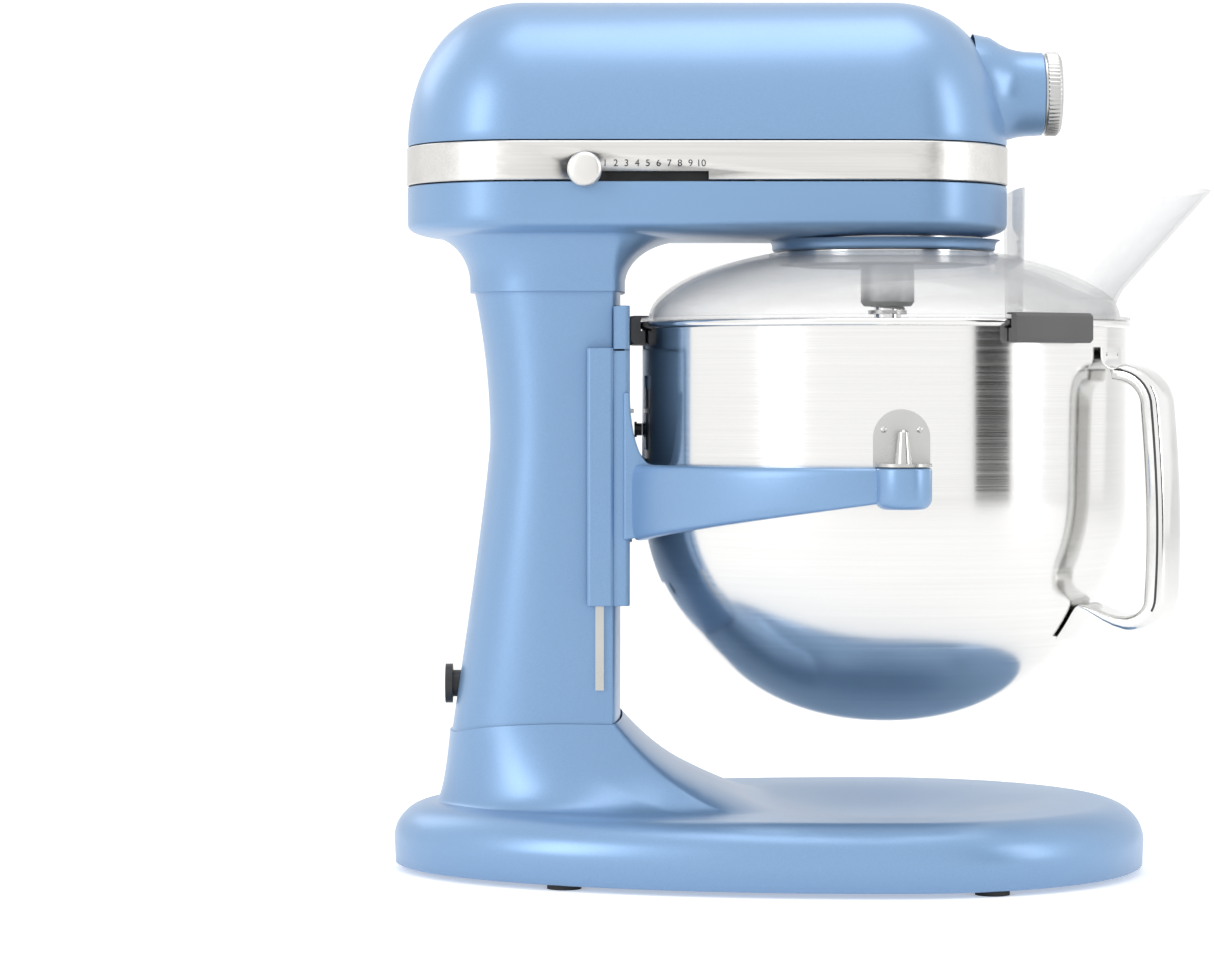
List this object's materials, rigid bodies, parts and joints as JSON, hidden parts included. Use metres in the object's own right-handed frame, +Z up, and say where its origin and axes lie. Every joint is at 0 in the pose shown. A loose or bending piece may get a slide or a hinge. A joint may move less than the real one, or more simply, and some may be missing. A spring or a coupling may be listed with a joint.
{
  "type": "stand mixer",
  "caption": "Bowl-lift stand mixer with a rounded head on a column and oval base, a steel bowl with a side handle on a lifting fork, and a clear pouring shield.",
  "frame": {"origin": "middle of the machine's overall length and width, on the surface it stands on, with the bowl raised", "axes": "+X from the column towards the bowl and the attachment hub, +Z up, +Y to the side with the lift lever"},
  "size_m": [0.395, 0.282, 0.4185],
  "materials": {
    "enamel": "satin metallic",
    "foot_rubber": "matte",
    "bright_steel": "satin",
    "dark_plastic": "matte",
    "bronze": "satin",
    "brushed_silver": "brushed along its length",
    "cast_alloy": "as cast",
    "gear_steel": "machined",
    "motor_lamination": "matte",
    "circuit_board": "matte",
    "satin_knob": "satin",
    "bowl_steel": "brushed round the axis",
    "polished_steel": "polished",
    "clear_plastic": "clear",
    "clip_rubber": "matte",
    "chrome_cap": "satin, knurled edge"
  },
  "bodies": {
    "mixer": {"base": "enamel", "rubber_feet": "foot_rubber", "column": "enamel", "guide_rails": "bright_steel", "column_bolts": "bright_steel", "neck_bolts": "bright_steel", "cord_gland": "dark_plastic", "lever_bushing": "bronze", "lower_housing": "enamel", "upper_housing": "enamel", "trim_band": "brushed_silver", "cover_screws": "bright_steel", "speed_track": "dark_plastic", "hub_sleeve": "enamel", "gearcase": "cast_alloy", "ring_gear": "gear_steel", "shaft_bearings": "gear_steel", "hub_bearing": "gear_steel", "motor_stator": "motor_lamination", "motor_end_plate": "cast_alloy", "motor_bearings": "gear_steel", "brush_holders": "bronze", "control_board": "circuit_board"},
    "speed_control": {"speed_knob": "satin_knob", "speed_carriage": "dark_plastic"},
    "bowl_lift": {"bowl_support": "enamel", "locating_pins": "bright_steel", "lift_yoke": "gear_steel", "yoke_screws": "bright_steel", "bowl_latch": "bright_steel"},
    "lift_arm": {"lift_axle": "gear_steel", "lift_lever": "bright_steel", "lever_grip": "dark_plastic", "lift_crank": "gear_steel"},
    "mixing_bowl": {"bowl": "bowl_steel", "bowl_brackets": "bright_steel", "bowl_handle": "polished_steel", "bowl_stud": "dark_plastic"},
    "shield": {"pouring_shield": "clear_plastic", "shield_clips": "clip_rubber"},
    "planetary": {"planet_carrier": "cast_alloy", "drip_ring": "bright_steel", "main_shaft": "gear_steel", "worm_wheel": "bronze", "drive_bevel": "gear_steel"},
    "beater_drive": {"beater_shaft": "bright_steel", "beater_pinion": "gear_steel", "drive_pin": "bright_steel", "shaft_spring": "bright_steel", "spring_washer": "bright_steel"},
    "hub_drive": {"hub_shaft": "gear_steel", "hub_bevel": "gear_steel"},
    "hub_cover": {"hub_cap": "chrome_cap"},
    "hub_screw": {"hub_knob": "dark_plastic", "hub_stud": "bright_steel"},
    "motor": {"motor_shaft": "gear_steel", "rotor_core": "motor_lamination", "commutator": "bronze", "cooling_fan": "dark_plastic"}
  },
  "joints": [
    {"name": "speed_slide", "type": "slide", "parent": "mixer", "child": "speed_control", "axis": [1, 0, 0], "range_m": [0, 0.055]},
    {"name": "bowl_lift_slide", "type": "slide", "parent": "mixer", "child": "bowl_lift", "axis": [0, 0, 1], "range_m": [-0.036, 0]},
    {"name": "lift_lever_turn", "type": "hinge", "parent": "mixer", "child": "lift_arm", "pos_m": [-0.11, 0, 0.15], "axis": [0, 1, 0], "range_deg": [-90, 0]},
    {"name": "bowl_off", "type": "slide", "parent": "bowl_lift", "child": "mixing_bowl", "axis": [0, 0, 1], "range_m": [0, 0.004]},
    {"name": "shield_turn", "type": "hinge", "parent": "mixing_bowl", "child": "shield", "pos_m": [0.0395, 0, 0.265], "axis": [0, 0, 1], "range_deg": [-10, 10]},
    {"name": "planetary_spin", "type": "hinge", "parent": "mixer", "child": "planetary", "pos_m": [0.0395, 0, 0.3], "axis": [0, 0, 1], "continuous": true},
    {"name": "beater_spin", "type": "hinge", "parent": "planetary", "child": "beater_drive", "pos_m": [0.0395, -0.02775, 0.27], "axis": [0, 0, 1], "continuous": true},
    {"name": "hub_spin", "type": "hinge", "parent": "mixer", "child": "hub_drive", "pos_m": [0.06, 0, 0.3745], "axis": [1, 0, 0], "continuous": true},
    {"name": "motor_spin", "type": "hinge", "parent": "mixer", "child": "motor", "pos_m": [0, 0.0245, 0.341], "axis": [1, 0, 0], "continuous": true},
    {"name": "cap_pull", "type": "slide", "parent": "mixer", "child": "hub_cover", "axis": [1, 0, 0], "range_m": [0, 0.1]},
    {"name": "hub_screw_turn", "type": "hinge", "parent": "mixer", "child": "hub_screw", "pos_m": [0.1055, 0.03, 0.3745], "axis": [0, 1, 0], "continuous": true}
  ],
  "couplings": [
    {"joint": "lift_lever_turn", "follows": "bowl_lift_slide", "rad_per_m": 43.633},
    {"joint": "beater_spin", "follows": "planetary_spin", "ratio": -3.4667},
    {"joint": "hub_spin", "follows": "planetary_spin", "ratio": 1},
    {"joint": "motor_spin", "follows": "planetary_spin", "ratio": 24}
  ]
}
